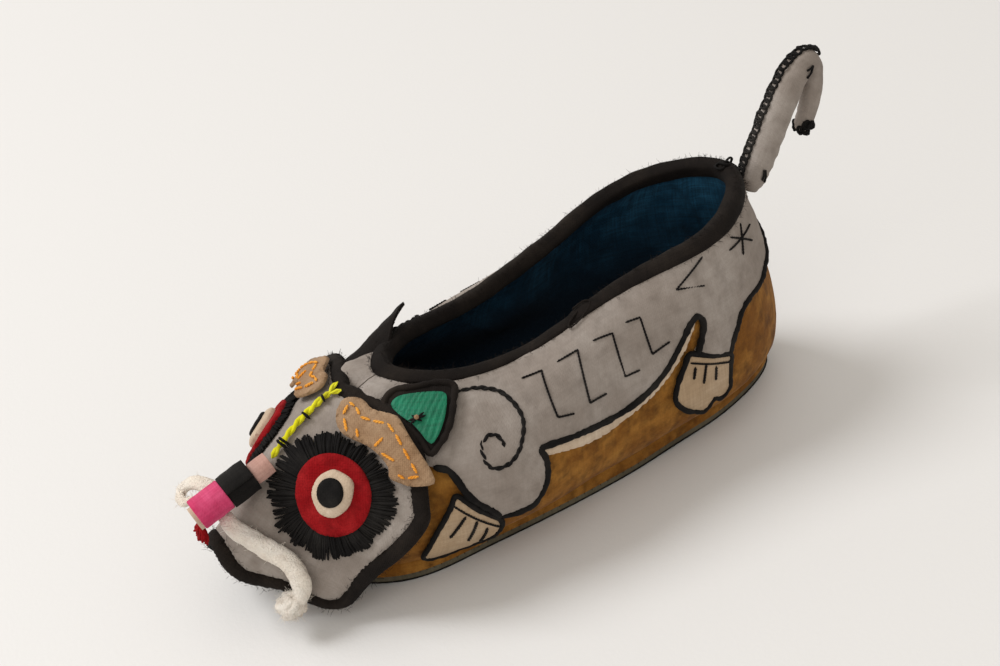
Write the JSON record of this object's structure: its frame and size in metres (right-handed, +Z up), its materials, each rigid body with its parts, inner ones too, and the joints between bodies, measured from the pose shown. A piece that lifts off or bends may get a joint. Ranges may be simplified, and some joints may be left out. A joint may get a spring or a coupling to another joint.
{
  "type": "child's cloth slipper",
  "caption": "Child's cloth slipper with a cat's face folded over the toe, ears, cotton whiskers, a body sewn along both sides and a hooked tail at the heel.",
  "frame": {"origin": "middle of the sole's underside, on the floor, in the shoe's middle plane", "axes": "+Y from the toe to the heel, +Z up, +X to the wearer's left when the toe points away from the viewer"},
  "size_m": [0.0628, 0.1758, 0.0782],
  "materials": {
    "sole": "grey-green layered cloth",
    "lining": "deep blue cotton",
    "ochre_cloth": "mottled ochre cotton",
    "binding": "brown-black bias strip",
    "grey_cloth": "worn grey cotton",
    "cream_cloth": "cream cotton",
    "pale_cloth": "pale pinkish cotton",
    "black_thread": "black cotton thread and cloth",
    "red_felt": "red felt",
    "tan_felt": "tan felt",
    "green_silk": "pleated green silk",
    "yellow_cord": "bright yellow cord",
    "lilac_cloth": "faded lilac cloth",
    "magenta_cloth": "magenta felt",
    "cotton": "twisted raw cotton"
  },
  "bodies": {
    "root": {"outsole": "sole", "insole": "lining", "upper": "ochre_cloth", "collar_binding": "binding", "flank_left": "grey_cloth", "flank_right": "grey_cloth", "belly_left": "cream_cloth", "belly_right": "cream_cloth", "paw_front_left": "pale_cloth", "paw_front_right": "pale_cloth", "paw_rear_left": "pale_cloth", "paw_rear_right": "pale_cloth", "face_mask": "grey_cloth", "mask_binding": "binding", "eye_fringe_left": "black_thread", "eye_fringe_right": "black_thread", "eye_red_left": "red_felt", "eye_red_right": "red_felt", "eye_white_left": "cream_cloth", "eye_white_right": "cream_cloth", "pupil_left": "black_thread", "pupil_right": "black_thread", "brow_left": "tan_felt", "brow_right": "tan_felt", "ear_left": "green_silk", "ear_right": "green_silk", "nose_cord": "yellow_cord", "nose_ring": "lilac_cloth", "nose_roll": "black_thread", "nose_tip_roll": "magenta_cloth", "nose_core": "cream_cloth", "nose_tuft": "red_felt", "whisker_left": "cotton", "whisker_right": "cotton", "tail": "grey_cloth"}
  },
  "joints": []
}
